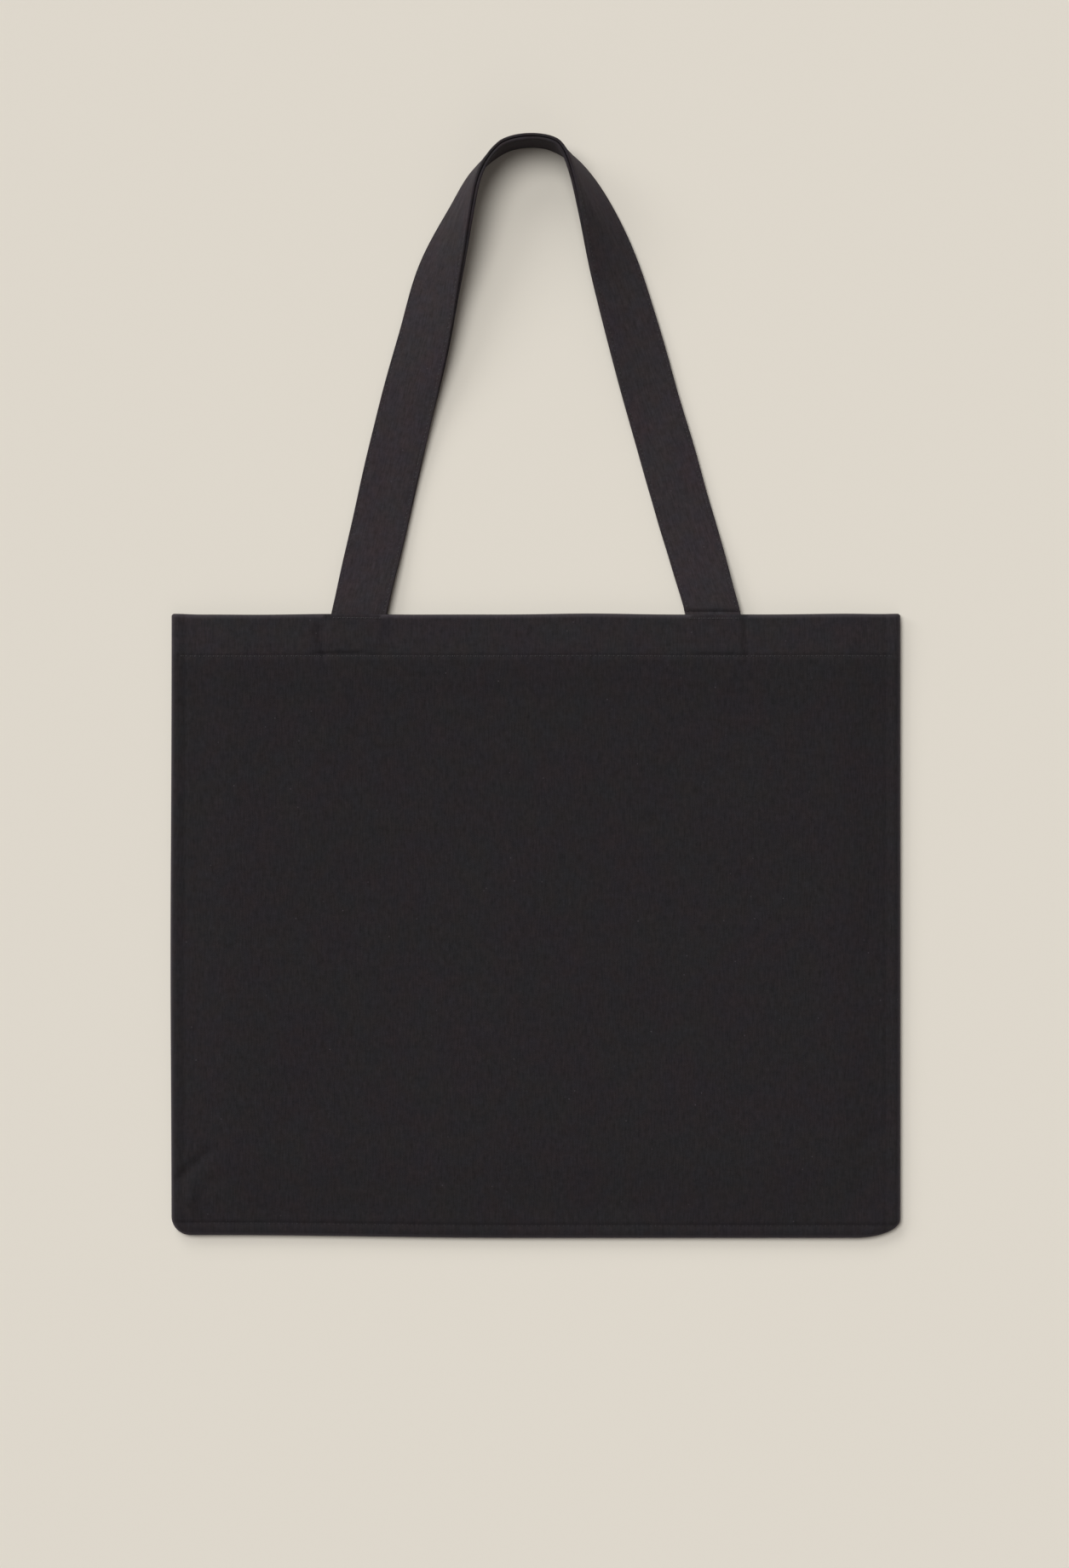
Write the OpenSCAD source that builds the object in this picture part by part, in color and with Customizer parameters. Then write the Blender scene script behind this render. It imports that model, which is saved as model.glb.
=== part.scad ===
// A flat canvas tote bag with two long shoulder straps, lying on its back panel.
// X runs across the bag, Y from the bottom seam to the handles, Z up out of the front.
// The origin is the middle of the back panel, on the face that the bag lies on.

/* [Body] */
// Width of the bag, side seam to side seam
body_w = 460; // [340:1:620]
// Height of the bag, bottom seam to mouth
body_h = 393; // [280:0.5:560]
// Radius of the two bottom corners
corner_r = 12; // [6:1:24]
// Thickness of one layer of canvas
cloth_t = 0.8; // [0.4:0.1:1.2]
// Height of the room between the panels in the middle of the bag
belly_gap = 6.4; // [5:0.1:14]
// Width over which the front panel rises from its side seams
side_slope = 30; // [15:1:60]
// Length over which the front panel rises from its bottom seam
bottom_slope = 40; // [20:1:80]

/* [Seams] */
// Distance from the folded edge of the bag to the seam line
fold_w = 1.5; // [1:0.1:3]
// Distance from the edge of the bag to the inner edge of the side seam allowance
side_seam_w = 8; // [5:0.5:14]
// Distance from the edge of the bag to the inner edge of the bottom seam allowance
bottom_seam_w = 8.5; // [6:0.5:11]
// Distance from the bottom edge to the row of stitches above it
bottom_row = 9; // [6:0.5:11]
// Depth of the folded hem round the mouth
hem_w = 27; // [15:0.5:40]
// Length over which the front panel thickens towards the hem
hem_slope = 36; // [20:1:60]
// Gap between the front and the back handle where they are sewn to the hems
mouth_gap = 1.2; // [0.8:0.1:6]

/* [Handles] */
// Width of the webbing
strap_w = 35; // [20:1:45]
// Thickness of the webbing
strap_t = 2.4; // [1.2:0.1:4]
// Half of the distance between the two feet of one handle, middle to middle
foot_x = 110.5; // [70:0.5:150]
// Height of a handle above the mouth
drop = 297; // [200:1:380]
// Distance from the end of a strap sewn on the hem to the hem's lower edge
tail_short = 2; // [1:0.5:5]
// Length of strap that stays straight above the mouth
stub_len = 5; // [3:0.5:12]
// Gap between the two handles where one lies on the other
strap_gap = 0.6; // [0.4:0.1:2]
// Angle that the back handle leans in at its highest point
lean = 4; // [0:1:20]
// Extra gap between the handles where the back one leans in
lean_gap = 1; // [0.8:0.1:4]
// Distance in which a handle comes down from the mouth to the ground
settle = 60; // [30:1:120]

/* [Thread] */
// Width of a row of stitches
thread_w = 0.8; // [0.4:0.1:1.5]
// Height that a row of stitches stands out of the cloth
thread_proud = 0.2; // [0.1:0.05:0.4]
// Depth that a row of stitches sinks into the cloth
thread_sink = 0.15; // [0.05:0.05:0.3]
// Distance from the edge of a handle to its row of stitches
edge_row = 2; // [1:0.5:6]
// Distance from the mouth to the short row that holds each handle
tack_row = 2.5; // [1.5:0.5:8]

/* [Fits] */
// Clearance between pieces that move apart
clear = 0.3; // [0.2:0.05:0.6]

/* [Hidden] */
$fn = 64;

// The course of a handle, from its left foot over the top to its right foot:
// share of foot_x, share of drop, and the angle that the strap has turned onto its edge.
COURSE = [[-1, 0, 0], [-0.76, 0.393, 5], [-0.64, 0.573, 22], [-0.55, 0.715, 38],
    [-0.43, 0.85, 70], [-0.34, 0.93, 88], [-0.2, 0.985, 90], [-0.035, 1, 90],
    [0.125, 0.988, 90], [0.235, 0.94, 76], [0.345, 0.85, 55], [0.46, 0.715, 29],
    [0.567, 0.573, 17], [0.7, 0.393, 5], [1, 0, 0]];
// Longest step along the course, and the fewest steps in one span of it
COURSE_STEP = 8;
SPAN_STEPS = 5;
// Steps along each slope of the front panel
SLOPE_STEPS = 6;
// Angle at which the back handle starts to lean in
LEAN_FROM = 60;

half_w = body_w / 2;
half_h = body_h / 2;
mouth_y = half_h;
hem_y = mouth_y - hem_w;
tail_len = hem_w - tail_short;
hem_t = 2 * cloth_t;
seam_t = 2 * cloth_t;
seam_top = cloth_t + seam_t;
hem_seam_top = seam_top + hem_t;
// Underside of the front panel: over the seams, in the middle and at the mouth
rim_under = seam_top + clear;
hem_rim_under = hem_seam_top + clear;
belly_under = cloth_t + belly_gap;
mouth_under = cloth_t + 2 * (strap_t + hem_t) + mouth_gap;
bottom_rim = max(corner_r, bottom_seam_w, bottom_row + thread_w);
hem_half = half_w - side_seam_w - clear;
axis_y = mouth_y + stub_len;
stack = strap_t + strap_gap;
// Run of a tail sideways for each millimetre along it
foot_slant = (1 + COURSE[1][0]) * foot_x / (COURSE[1][1] * drop);
back_tail_z = cloth_t + hem_t;
front_tail_z = mouth_under - hem_t - strap_t;

BACK = "#262426";
PANEL = "#2a272a";
HEM = "#2e2a2d";
STRAP = "#343033";
THREAD = "#1d1b1d";

function smooth(t) = let (u = max(0, min(1, t))) u * u * (3 - 2 * u);

// Underside of the front panel at a point
function hem_share(y) = smooth((y - hem_y + hem_slope) / hem_slope);
function rim_z(y) = rim_under + (hem_rim_under - rim_under) * hem_share(y);
function crest_z(y) = belly_under + (mouth_under - belly_under) * hem_share(y);
function rise_x(x) = smooth((half_w - side_seam_w - abs(x)) / side_slope);
function rise_y(y) = smooth((y + half_h - bottom_rim) / bottom_slope);
function under_z(x, y) = rim_z(y) + (crest_z(y) - rim_z(y)) * rise_x(x) * rise_y(y);

// Stations across and along the front panel
slope_x = [for (i = [0 : SLOPE_STEPS]) half_w - side_seam_w - side_slope * i / SLOPE_STEPS];
columns = concat([-half_w], [for (x = slope_x) -x], [0],
    [for (i = [SLOPE_STEPS : -1 : 0]) slope_x[i]], [half_w]);
rows = concat(
    [for (a = [10, 25, 40, 60]) corner_r * (1 - cos(a)) - half_h],
    [for (i = [0 : SLOPE_STEPS]) bottom_rim + bottom_slope * i / SLOPE_STEPS - half_h],
    [for (i = [0 : SLOPE_STEPS]) hem_y - hem_slope * (1 - i / SLOPE_STEPS)], [mouth_y]);
function corner_half(y) = let (d = min(corner_r, y + half_h))
    half_w - corner_r + sqrt(corner_r * corner_r - (corner_r - d) * (corner_r - d));
function fit_x(x, y) = let (flat = half_w - corner_r) abs(x) <= flat ? x :
    sign(x) * (flat + (abs(x) - flat) * (corner_half(y) - flat) / corner_r);

// A closed skin between a grid of points above and the same grid below
module skin(top, bottom) {
    m = len(top);
    n = len(top[0]);
    all = concat([for (r = top) for (p = r) p], [for (r = bottom) for (p = r) p]);
    under = m * n;
    upper = [for (j = [0 : m - 2]) for (i = [0 : n - 2]) let (a = j * n + i)
        each [[a, a + n, a + 1], [a + 1, a + n, a + n + 1]]];
    lower = [for (f = upper) [f[0] + under, f[2] + under, f[1] + under]];
    rim = concat([for (i = [0 : n - 2]) i],
        [for (j = [0 : m - 2]) j * n + n - 1],
        [for (i = [n - 1 : -1 : 1]) (m - 1) * n + i],
        [for (j = [m - 1 : -1 : 1]) j * n]);
    walls = [for (k = [0 : len(rim) - 1]) let (a = rim[k], b = rim[(k + 1) % len(rim)])
        each [[a, b, a + under], [b, b + under, a + under]]];
    polyhedron(points = all, faces = concat(upper, lower, walls));
}

// A strap or thread swept along rings of four corners each. Its upper and lower faces
// are cut along the same diagonals, so that a twisted strap keeps its thickness.
module sweep(rings) {
    n = len(rings);
    all = [for (r = rings) each r];
    sides = [for (k = [0 : n - 2]) for (c = [0 : 3])
        let (a = 4 * k + c, b = 4 * k + (c + 1) % 4)
        each c < 2 ? [[a, b, a + 4], [b, b + 4, a + 4]]
            : [[a, b, b + 4], [a, b + 4, a + 4]]];
    last = 4 * (n - 1);
    caps = [[0, 3, 2], [0, 2, 1],
        [last, last + 1, last + 2], [last, last + 2, last + 3]];
    polyhedron(points = all, faces = concat(sides, caps));
}

// Points along the course, with the slope at each course point taken from its neighbours
stops = [for (c = COURSE) [c[0] * foot_x, c[1] * (drop - stub_len), c[2]]];
last_stop = len(stops) - 1;
function gap_to(i) = norm([stops[i + 1][0] - stops[i][0], stops[i + 1][1] - stops[i][1]]);
function slope_at(i) = i == 0 ? (stops[1] - stops[0]) / gap_to(0) :
    i == last_stop ? (stops[i] - stops[i - 1]) / gap_to(i - 1) :
    (stops[i + 1] - stops[i - 1]) / (gap_to(i) + gap_to(i - 1));
function between(i, u) = let (g = gap_to(i), a = u * u * (3 - 2 * u))
    stops[i] * (1 - a) + stops[i + 1] * a
    + slope_at(i) * g * u * (1 - u) * (1 - u) - slope_at(i + 1) * g * u * u * (1 - u);
trail = concat([for (i = [0 : last_stop - 1])
    let (n = max(SPAN_STEPS, ceil(gap_to(i) / COURSE_STEP)))
    for (k = [0 : n - 1]) between(i, k / n)], [stops[last_stop]]);
trail_end = len(trail) - 1;

// Outward direction at a point of the trail: straight across at the feet
function turn_share(k) = smooth(trail[k][1] / settle);
function outward(k) =
    let (a = trail[max(0, k - 1)], b = trail[min(trail_end, k + 1)],
        d = [a[1] - b[1], b[0] - a[0]] / norm([b[0] - a[0], b[1] - a[1]]),
        foot = [sign(trail[k][0]), 0],
        v = foot * (1 - turn_share(k)) + d * turn_share(k))
    v / norm(v);

// Ring of a strap: s runs across it from -1 to 1, and f through it
function ring(k, tilt, shift, low, w0, w1, f0, f1) =
    let (n = outward(k), fade = 1 - turn_share(k),
        z = low[0] + fade * low[1] + strap_w / 2 * sin(tilt) + strap_t / 2 * abs(cos(tilt)),
        c = [trail[k][0] - shift * n[0], axis_y + trail[k][1] - shift * n[1], z],
        across = [cos(tilt) * n[0], cos(tilt) * n[1], -sin(tilt)],
        face = [sin(tilt) * n[0], sin(tilt) * n[1], cos(tilt)])
    [c + across * w0 + face * f0, c + across * w1 + face * f0,
        c + across * w1 + face * f1, c + across * w0 + face * f1];
function tilt_at(k) = max(0, min(90, trail[k][2]));
function front_ring(k, w0, w1, f0, f1) = let (tilt = tilt_at(k))
    ring(k, tilt, 0, [stack * cos(tilt), front_tail_z - stack], w0, w1, f0, f1);
function back_ring(k, w0, w1, f0, f1) =
    let (tilt = tilt_at(k),
        share = smooth((tilt - LEAN_FROM) / (90 - LEAN_FROM)),
        more = lean * share,
        shift = stack * sin(tilt) + strap_w / 2 * sin(more) + lean_gap * share)
    ring(k, tilt + more, shift, [0, back_tail_z], w0, w1, f0, f1);

module outline() {
    translate([-half_w, corner_r - half_h]) square([body_w, body_h - corner_r]);
    translate([corner_r - half_w, -half_h]) square([body_w - 2 * corner_r, corner_r]);
    for (s = [-1, 1]) translate([s * (half_w - corner_r), corner_r - half_h])
        circle(corner_r);
}

// The slanted end of a handle, sewn on the inner face of the hem
module tail(side, z) {
    h = strap_w / 2;
    high = side * foot_x;
    low = high + side * foot_slant * (tail_len + stub_len);
    translate([0, 0, z]) linear_extrude(strap_t) polygon([[low - h, mouth_y - tail_len],
        [low + h, mouth_y - tail_len], [high + h, axis_y], [high - h, axis_y]]);
}

module side_seam(side) {
    w = side_seam_w - fold_w;
    x = side * (half_w - fold_w - w / 2);
    translate([x - w / 2, corner_r - half_h, cloth_t]) cube([w, body_h - corner_r, seam_t]);
    translate([x - w / 2, hem_y, cloth_t]) cube([w, hem_w, seam_t + hem_t]);
}

module side_stitching(side) {
    x = side * (half_w - fold_w + thread_w / 2);
    translate([x - thread_w / 2, corner_r - half_h, cloth_t])
        cube([thread_w, body_h - corner_r, seam_t]);
}

// A bar with its top and bottom given by points across the bag
module ribbon(xs, low, high, y, depth) translate([0, y + depth, 0]) rotate([90, 0, 0])
    linear_extrude(depth) polygon(concat([for (x = xs) [x, under_z(x, mouth_y) + low]],
        [for (i = [len(xs) - 1 : -1 : 0]) [xs[i], under_z(xs[i], mouth_y) + high]]));

module tack_rows(z) for (s = [-1, 1])
    translate([s * foot_x + s * foot_slant * (stub_len + tack_row) - strap_w / 2,
        mouth_y - tack_row - thread_w / 2, z - thread_sink])
        cube([strap_w, thread_w, thread_sink + thread_proud]);

module edge_rows(front) for (s = [-1, 1]) {
    w0 = s * (strap_w / 2 - edge_row) - thread_w / 2;
    f0 = strap_t / 2 - thread_sink;
    f1 = strap_t / 2 + thread_proud;
    sweep([for (k = [1 : trail_end - 1]) front ? front_ring(k, w0, w0 + thread_w, f0, f1)
        : back_ring(k, w0, w0 + thread_w, f0, f1)]);
}

module back_panel() color(BACK) linear_extrude(cloth_t) outline();
module left_side_seam() color(BACK) side_seam(-1);
module right_side_seam() color(BACK) side_seam(1);
module bottom_seam() color(BACK) translate([corner_r - half_w, fold_w - half_h, cloth_t])
    cube([body_w - 2 * corner_r, bottom_seam_w - fold_w, seam_t]);
module back_hem() color(HEM)
    translate([-hem_half, hem_y, cloth_t]) cube([2 * hem_half, hem_w, hem_t]);
module back_handle_tail_left() color(STRAP) tail(-1, back_tail_z);
module back_handle_tail_right() color(STRAP) tail(1, back_tail_z);
module left_side_stitching() color(THREAD) side_stitching(-1);
module right_side_stitching() color(THREAD) side_stitching(1);
module back_hem_stitching() color(THREAD)
    translate([-hem_half, hem_y, cloth_t + hem_t - thread_sink])
    cube([2 * hem_half, thread_w, thread_sink + thread_proud]);
module back_tack_stitching() color(THREAD) tack_rows(back_tail_z + strap_t);

module front_panel() color(PANEL) skin(
    [for (y = rows) [for (x = columns) let (f = fit_x(x, y)) [f, y, under_z(f, y) + cloth_t]]],
    [for (y = rows) [for (x = columns) let (f = fit_x(x, y)) [f, y, under_z(f, y)]]]);
module front_hem() color(HEM)
    ribbon(concat([-hem_half], [for (i = [2 : len(columns) - 3]) columns[i]], [hem_half]),
        -hem_t, 0, hem_y, hem_w);
module front_handle_tail_left() color(STRAP) tail(-1, front_tail_z);
module front_handle_tail_right() color(STRAP) tail(1, front_tail_z);
module front_hem_stitching() color(THREAD)
    ribbon([for (i = [1 : len(columns) - 2]) columns[i]],
        cloth_t - thread_sink, cloth_t + thread_proud, hem_y, thread_w);
module front_tack_stitching() color(THREAD) tack_rows(mouth_under + cloth_t);
module bottom_stitching() color(THREAD)
    translate([corner_r - half_w, bottom_row - half_h, rim_under + cloth_t - thread_sink])
    cube([body_w - 2 * corner_r, thread_w, thread_sink + thread_proud]);

module front_handle() color(STRAP) sweep([for (k = [0 : trail_end])
    front_ring(k, -strap_w / 2, strap_w / 2, -strap_t / 2, strap_t / 2)]);
module front_handle_stitching() color(THREAD) edge_rows(true);
module back_handle() color(STRAP) sweep([for (k = [0 : trail_end])
    back_ring(k, -strap_w / 2, strap_w / 2, -strap_t / 2, strap_t / 2)]);
module back_handle_stitching() color(THREAD) edge_rows(false);

back_panel();
left_side_seam();
right_side_seam();
bottom_seam();
back_hem();
back_handle_tail_left();
back_handle_tail_right();
left_side_stitching();
right_side_stitching();
back_hem_stitching();
back_tack_stitching();
front_panel();
front_hem();
front_handle_tail_left();
front_handle_tail_right();
front_hem_stitching();
front_tack_stitching();
bottom_stitching();
front_handle();
front_handle_stitching();
back_handle();
back_handle_stitching();
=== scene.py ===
"""A canvas tote bag that lies on its back panel, with its two shoulder straps above it.

Every length is in metres. The bag is sewn from two panels of black cotton canvas. Each
panel runs up its own side, over the mouth and down the inside as a hem, and a strap is
sewn on the inside of each hem.
"""
import math

import bpy
import numpy as np
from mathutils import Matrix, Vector


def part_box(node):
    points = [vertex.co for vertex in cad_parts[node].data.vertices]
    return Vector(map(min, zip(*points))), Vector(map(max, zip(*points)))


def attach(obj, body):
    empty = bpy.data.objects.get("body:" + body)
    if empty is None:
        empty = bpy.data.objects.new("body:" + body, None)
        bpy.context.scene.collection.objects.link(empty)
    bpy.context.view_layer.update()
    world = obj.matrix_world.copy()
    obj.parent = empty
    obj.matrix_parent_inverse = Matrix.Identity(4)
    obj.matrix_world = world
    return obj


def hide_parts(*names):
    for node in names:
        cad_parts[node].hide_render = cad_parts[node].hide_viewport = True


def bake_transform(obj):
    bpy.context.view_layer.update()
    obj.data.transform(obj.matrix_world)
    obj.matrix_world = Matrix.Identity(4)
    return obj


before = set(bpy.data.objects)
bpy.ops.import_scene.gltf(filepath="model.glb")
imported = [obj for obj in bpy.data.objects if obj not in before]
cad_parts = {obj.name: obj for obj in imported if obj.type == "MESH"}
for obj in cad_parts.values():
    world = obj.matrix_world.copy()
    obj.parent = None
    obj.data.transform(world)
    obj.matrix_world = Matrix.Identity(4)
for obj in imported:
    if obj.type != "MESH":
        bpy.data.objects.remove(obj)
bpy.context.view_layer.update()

MM = 0.001

# The bag, from its frame
back_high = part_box("back_panel")[1]
front_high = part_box("front_panel")[1]
hem_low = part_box("front_hem")[0]
tail_low, tail_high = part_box("front_handle_tail_left")
HALF_W = back_high.x
HALF_H = back_high.y
MOUTH_Y = HALF_H
HEM_Y = hem_low.y
TOP_Z = front_high.z
TAIL_END_Y = tail_low.y
AXIS_Y = tail_high.y

# The cloth, and the radii of its folds at the mouth and at the hem's tucked edge
CLOTH = 0.75 * MM
LIP_R = 1.22 * MM
TUCK_R = 0.8 * MM
TUCK = 8 * MM
HEM_INSET = 3 * MM

# Heights of the bag: its folded edge, the front panel beside that edge, and its middle
FOLD_Z = 4.4 * MM
RIM_Z = 7 * MM
HEM_RIM_Z = 7.8 * MM
BELLY_Z = 9.5 * MM

# Widths from the bag's edge inwards
ROLL = 3.4 * MM
SIDE_SEAM = 8 * MM
SIDE_SLOPE = 30 * MM
BOTTOM_RIM = 12 * MM
BOTTOM_SLOPE = 40 * MM
HEM_SLOPE = 36 * MM
ALLOWANCE_EDGE = 2.6 * MM
LEFT_CORNER = (12 * MM, 12 * MM)
RIGHT_CORNER = (29 * MM, 12 * MM)

# Rows of stitches: above the bottom edge, and above the hem's lower edge
BOTTOM_ROW = 7.8 * MM
HEM_ROW = 0.4 * MM

# Lines in the front panel, in millimetres: the height of each over the cloth beside it, its
# two ends, how far its middle bows to the side, and its half width. The first seven are where
# the straps' ends and their thread pull at the hem, and the others are old folds.
FRONT_LINES = [(-2.3, (-138, 191), (-132, 166), 0, 2.8),
               (-1.1, (-147, 171), (-102, 172), 0, 1.4),
               (-0.9, (-91, 197), (-90, 180), 0, 1.6),
               (-1.4, (131, 196), (134, 166), 0, 2),
               (-0.4, (96, 171.5), (130, 171), 0, 1.3),
               (0.35, (-128, 168), (-118, 120), 2, 5),
               (0.3, (126, 168), (112, 125), -2, 5),
               (-0.28, (5, 150), (78, 148), 4, 2),
               (-0.22, (-45, 138), (30, 156), 3, 2),
               (-1.8, (-232, -166), (-200, -138), 0, 3),
               (-0.7, (-216, -173), (-192, -154), 0, 3.5),
               (0.4, (-200, -172), (-110, -176), 0, 7),
               (-0.6, (228, -122), (196, -146), 0, 4),
               (0.4, (229, -140), (214, -152), 0, 5)]

# Upright wrinkles in the hem, by turns a ridge and a dip, in millimetres across the bag
HEM_WRINKLES = (-136, -66, 46, 68, 128, 160)

# The straps. Their feet are FOOT_X from the bag's middle, they reach DROP above the mouth, and
# within SETTLE of it they have come down to the ground. The front one lies on the back one at
# their feet, and outside it at their top.
STRAP_W = 35 * MM
STRAP_T = 1.9 * MM
STRAP_GAP = 0.6 * MM
CROWN_GAP = 0.35 * MM
FOOT_X = 110.5 * MM
DROP = 298.5 * MM
SETTLE = 60 * MM

# Degrees by which the back strap leans in where it stands upright, and the tilt at which it
# starts to lean
LEAN = 1.5
LEAN_FROM = 60

# Rows of stitches: inside a strap's edges, and inside the two edges of a hem at its ends
EDGE_ROW = 2 * MM
TACK_ROW = 2.5 * MM

# A strap's middle line above the mouth: shares of half the distance between its feet and
# of its height, and how far it has tilted from flat to upright, in degrees
COURSE = [(-1, 0, 0), (-0.76, 0.393, 5), (-0.64, 0.573, 22), (-0.55, 0.715, 38),
          (-0.43, 0.85, 67), (-0.34, 0.93, 81), (-0.2, 0.985, 90), (-0.035, 1, 90),
          (0.125, 0.988, 90), (0.235, 0.94, 76), (0.345, 0.85, 55), (0.46, 0.715, 29),
          (0.567, 0.573, 17), (0.7, 0.393, 5), (1, 0, 0)]

# Slanted folds at the shoulders, all of one length: where each starts as a share of the
# strap's length, how far across it starts and how far it crosses, as shares of the strap's
# width, and its height
SHOULDER_RUN = 70 * MM
SHOULDER_FOLDS = [(0.57, -0.26, 0.4, 0.85 * MM), (0.58, -0.08, 0.36, 0.6 * MM),
                  (0.59, -0.2, 0.3, -0.5 * MM), (0.34, 0.1, -0.3, 0.5 * MM),
                  (0.36, 0.24, -0.28, 0.4 * MM)]

# A fold across the right foot of each strap: how far it is above the mouth, its depth, and
# its half width
FOOT_FOLD = (1 * MM, 1.3 * MM, 1.3 * MM)

# The thread. It is drawn thicker than its real 0.4 mm, which is too fine to show.
STITCH = 2.9 * MM
THREAD = 0.95 * MM


# ---------------------------------------------------------------- small helpers

def smooth(t):
    """From 0 to 1 with no kink at either end, and constant outside them."""
    t = np.clip(t, 0, 1)
    return t * t * (3 - 2 * t)


def mix(a, b, share):
    return a + (b - a) * share


def hump(d, width):
    """1 at no distance, and about a third at the width."""
    return np.exp(-(d / width) ** 2)


def ripple(x, y, size, seed):
    """Gentle waves of about one size, mostly from -1 to 1, the same at every run."""
    rng = np.random.default_rng(seed)
    total = 0
    for _ in range(8):
        turn, phase = rng.uniform(0, 2 * math.pi, 2)
        k = 2 * math.pi / (size * rng.uniform(0.7, 1.5))
        total = total + np.sin(k * (x * math.cos(turn) + y * math.sin(turn)) + phase)
    return total / 4


def stations(*runs):
    """Places along a line from runs of (start, end, longest step)."""
    places = []
    for start, end, step in runs:
        count = max(1, math.ceil((end - start) / step - 1e-9))
        places += [start + (end - start) * i / count for i in range(count)]
    return np.array(places + [runs[-1][1]])


def points(obj):
    co = np.empty(len(obj.data.vertices) * 3)
    obj.data.vertices.foreach_get("co", co)
    return co.reshape(-1, 3)


def move_points(obj, co):
    obj.data.vertices.foreach_set("co", np.asarray(co, float).ravel())
    obj.data.update()


def deselect():
    bpy.ops.object.select_all(action="DESELECT")


def select(obj):
    deselect()
    obj.select_set(True)
    bpy.context.view_layer.objects.active = obj


def apply(obj, kind, name, **settings):
    modifier = obj.modifiers.new(name, kind)
    for key, value in settings.items():
        setattr(modifier, key, value)
    select(obj)
    bpy.ops.object.modifier_apply(modifier=name)


def flat_cloth(name, across, along):
    """A flat grid with a column at each place across and a row at each place along.
    Its UV map holds those places in metres, counted from the first of each."""
    deselect()
    bpy.ops.mesh.primitive_grid_add(
        x_subdivisions=len(across) - 1, y_subdivisions=len(along) - 1, size=1)
    cloth = bpy.context.object
    cloth.name = cloth.data.name = name
    co = points(cloth)
    column = np.rint((co[:, 0] + 0.5) * (len(across) - 1)).astype(int)
    row = np.rint((co[:, 1] + 0.5) * (len(along) - 1)).astype(int)
    co = np.stack([across[column], along[row], np.zeros(len(co))], 1)
    move_points(cloth, co)
    corner_vertex = np.empty(len(cloth.data.loops), int)
    cloth.data.loops.foreach_get("vertex_index", corner_vertex)
    uv = np.abs(co[corner_vertex, :2] - [across[0], along[0]])
    cloth.data.uv_layers[0].name = "threads"
    cloth.data.uv_layers[0].data.foreach_set("uv", uv.ravel())
    return cloth


def face_outwards(obj):
    select(obj)
    bpy.ops.object.mode_set(mode="EDIT")
    bpy.ops.mesh.select_all(action="SELECT")
    bpy.ops.mesh.normals_make_consistent(inside=False)
    bpy.ops.object.mode_set(mode="OBJECT")


def soften(obj):
    """Shades an object smooth, except across its sharp edges."""
    select(obj)
    bpy.ops.object.shade_smooth_by_angle(angle=math.radians(50))


# ---------------------------------------------------------------- stage

def stage_camera():
    """Straight above the bag, with its handles towards the top of the picture."""
    data = bpy.data.cameras.new("camera")
    camera = bpy.data.objects.new("camera", data)
    bpy.context.scene.collection.objects.link(camera)
    distance = 3.0
    seen_height = 0.9877
    middle_x, middle_y = -0.0009, 0.0891
    data.lens = data.sensor_width * distance / seen_height
    camera.location = (middle_x, middle_y, distance + BELLY_Z)
    bpy.context.scene.camera = camera


def softbox(name, share, elevation, bearing, size):
    """A soft light that gives the ground a share of its brightness. Its bearing is counted
    in degrees clockwise from the way the handles point, and its size is an angle."""
    data = bpy.data.lights.new(name, "SUN")
    data.energy = share * math.pi / math.sin(math.radians(elevation))
    data.angle = math.radians(size)
    light = bpy.data.objects.new(name, data)
    bpy.context.scene.collection.objects.link(light)
    flat, drop = math.cos(math.radians(elevation)), math.sin(math.radians(elevation))
    turn = math.radians(bearing)
    ray = Vector((-flat * math.sin(turn), -flat * math.cos(turn), -drop))
    light.rotation_euler = ray.to_track_quat("-Z", "Y").to_euler()


def stage_light():
    """A large soft light overhead, two low ones beyond the handles and on the left, and an
    even surround."""
    softbox("overhead", share=0.62, elevation=68, bearing=-42, size=34)
    softbox("beyond", share=0.13, elevation=30, bearing=-20, size=28)
    softbox("left", share=0.10, elevation=30, bearing=-62, size=28)
    softbox("fill", share=0.02, elevation=40, bearing=165, size=40)
    world = bpy.data.worlds.new("surround")
    world.use_nodes = True
    surround = world.node_tree.nodes["Background"]
    surround.inputs["Color"].default_value = (1.0, 0.89, 0.84, 1)
    surround.inputs["Strength"].default_value = 0.14
    bpy.context.scene.world = world
    bpy.context.scene.view_settings.view_transform = "Standard"


# ---------------------------------------------------------------- materials

def linear(code):
    """An sRGB hex colour as linear red, green, blue, alpha."""
    parts = [int(code[i:i + 2], 16) / 255 for i in (1, 3, 5)]
    return [p / 12.92 if p <= 0.04045 else ((p + 0.055) / 1.055) ** 2.4 for p in parts] + [1]


def node(tree, kind, links=None, values=None, **settings):
    """Adds a node with its settings, its fixed values and its links."""
    made = tree.nodes.new(kind)
    for name, value in settings.items():
        setattr(made, name, value)
    for name, value in (values or {}).items():
        made.inputs[name].default_value = value
    for name, socket in (links or {}).items():
        tree.links.new(socket, made.inputs[name])
    return made


def new_material(name):
    material = bpy.data.materials.new(name)
    material.use_nodes = True
    tree = material.node_tree
    return material, tree, tree.nodes["Principled BSDF"]


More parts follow.
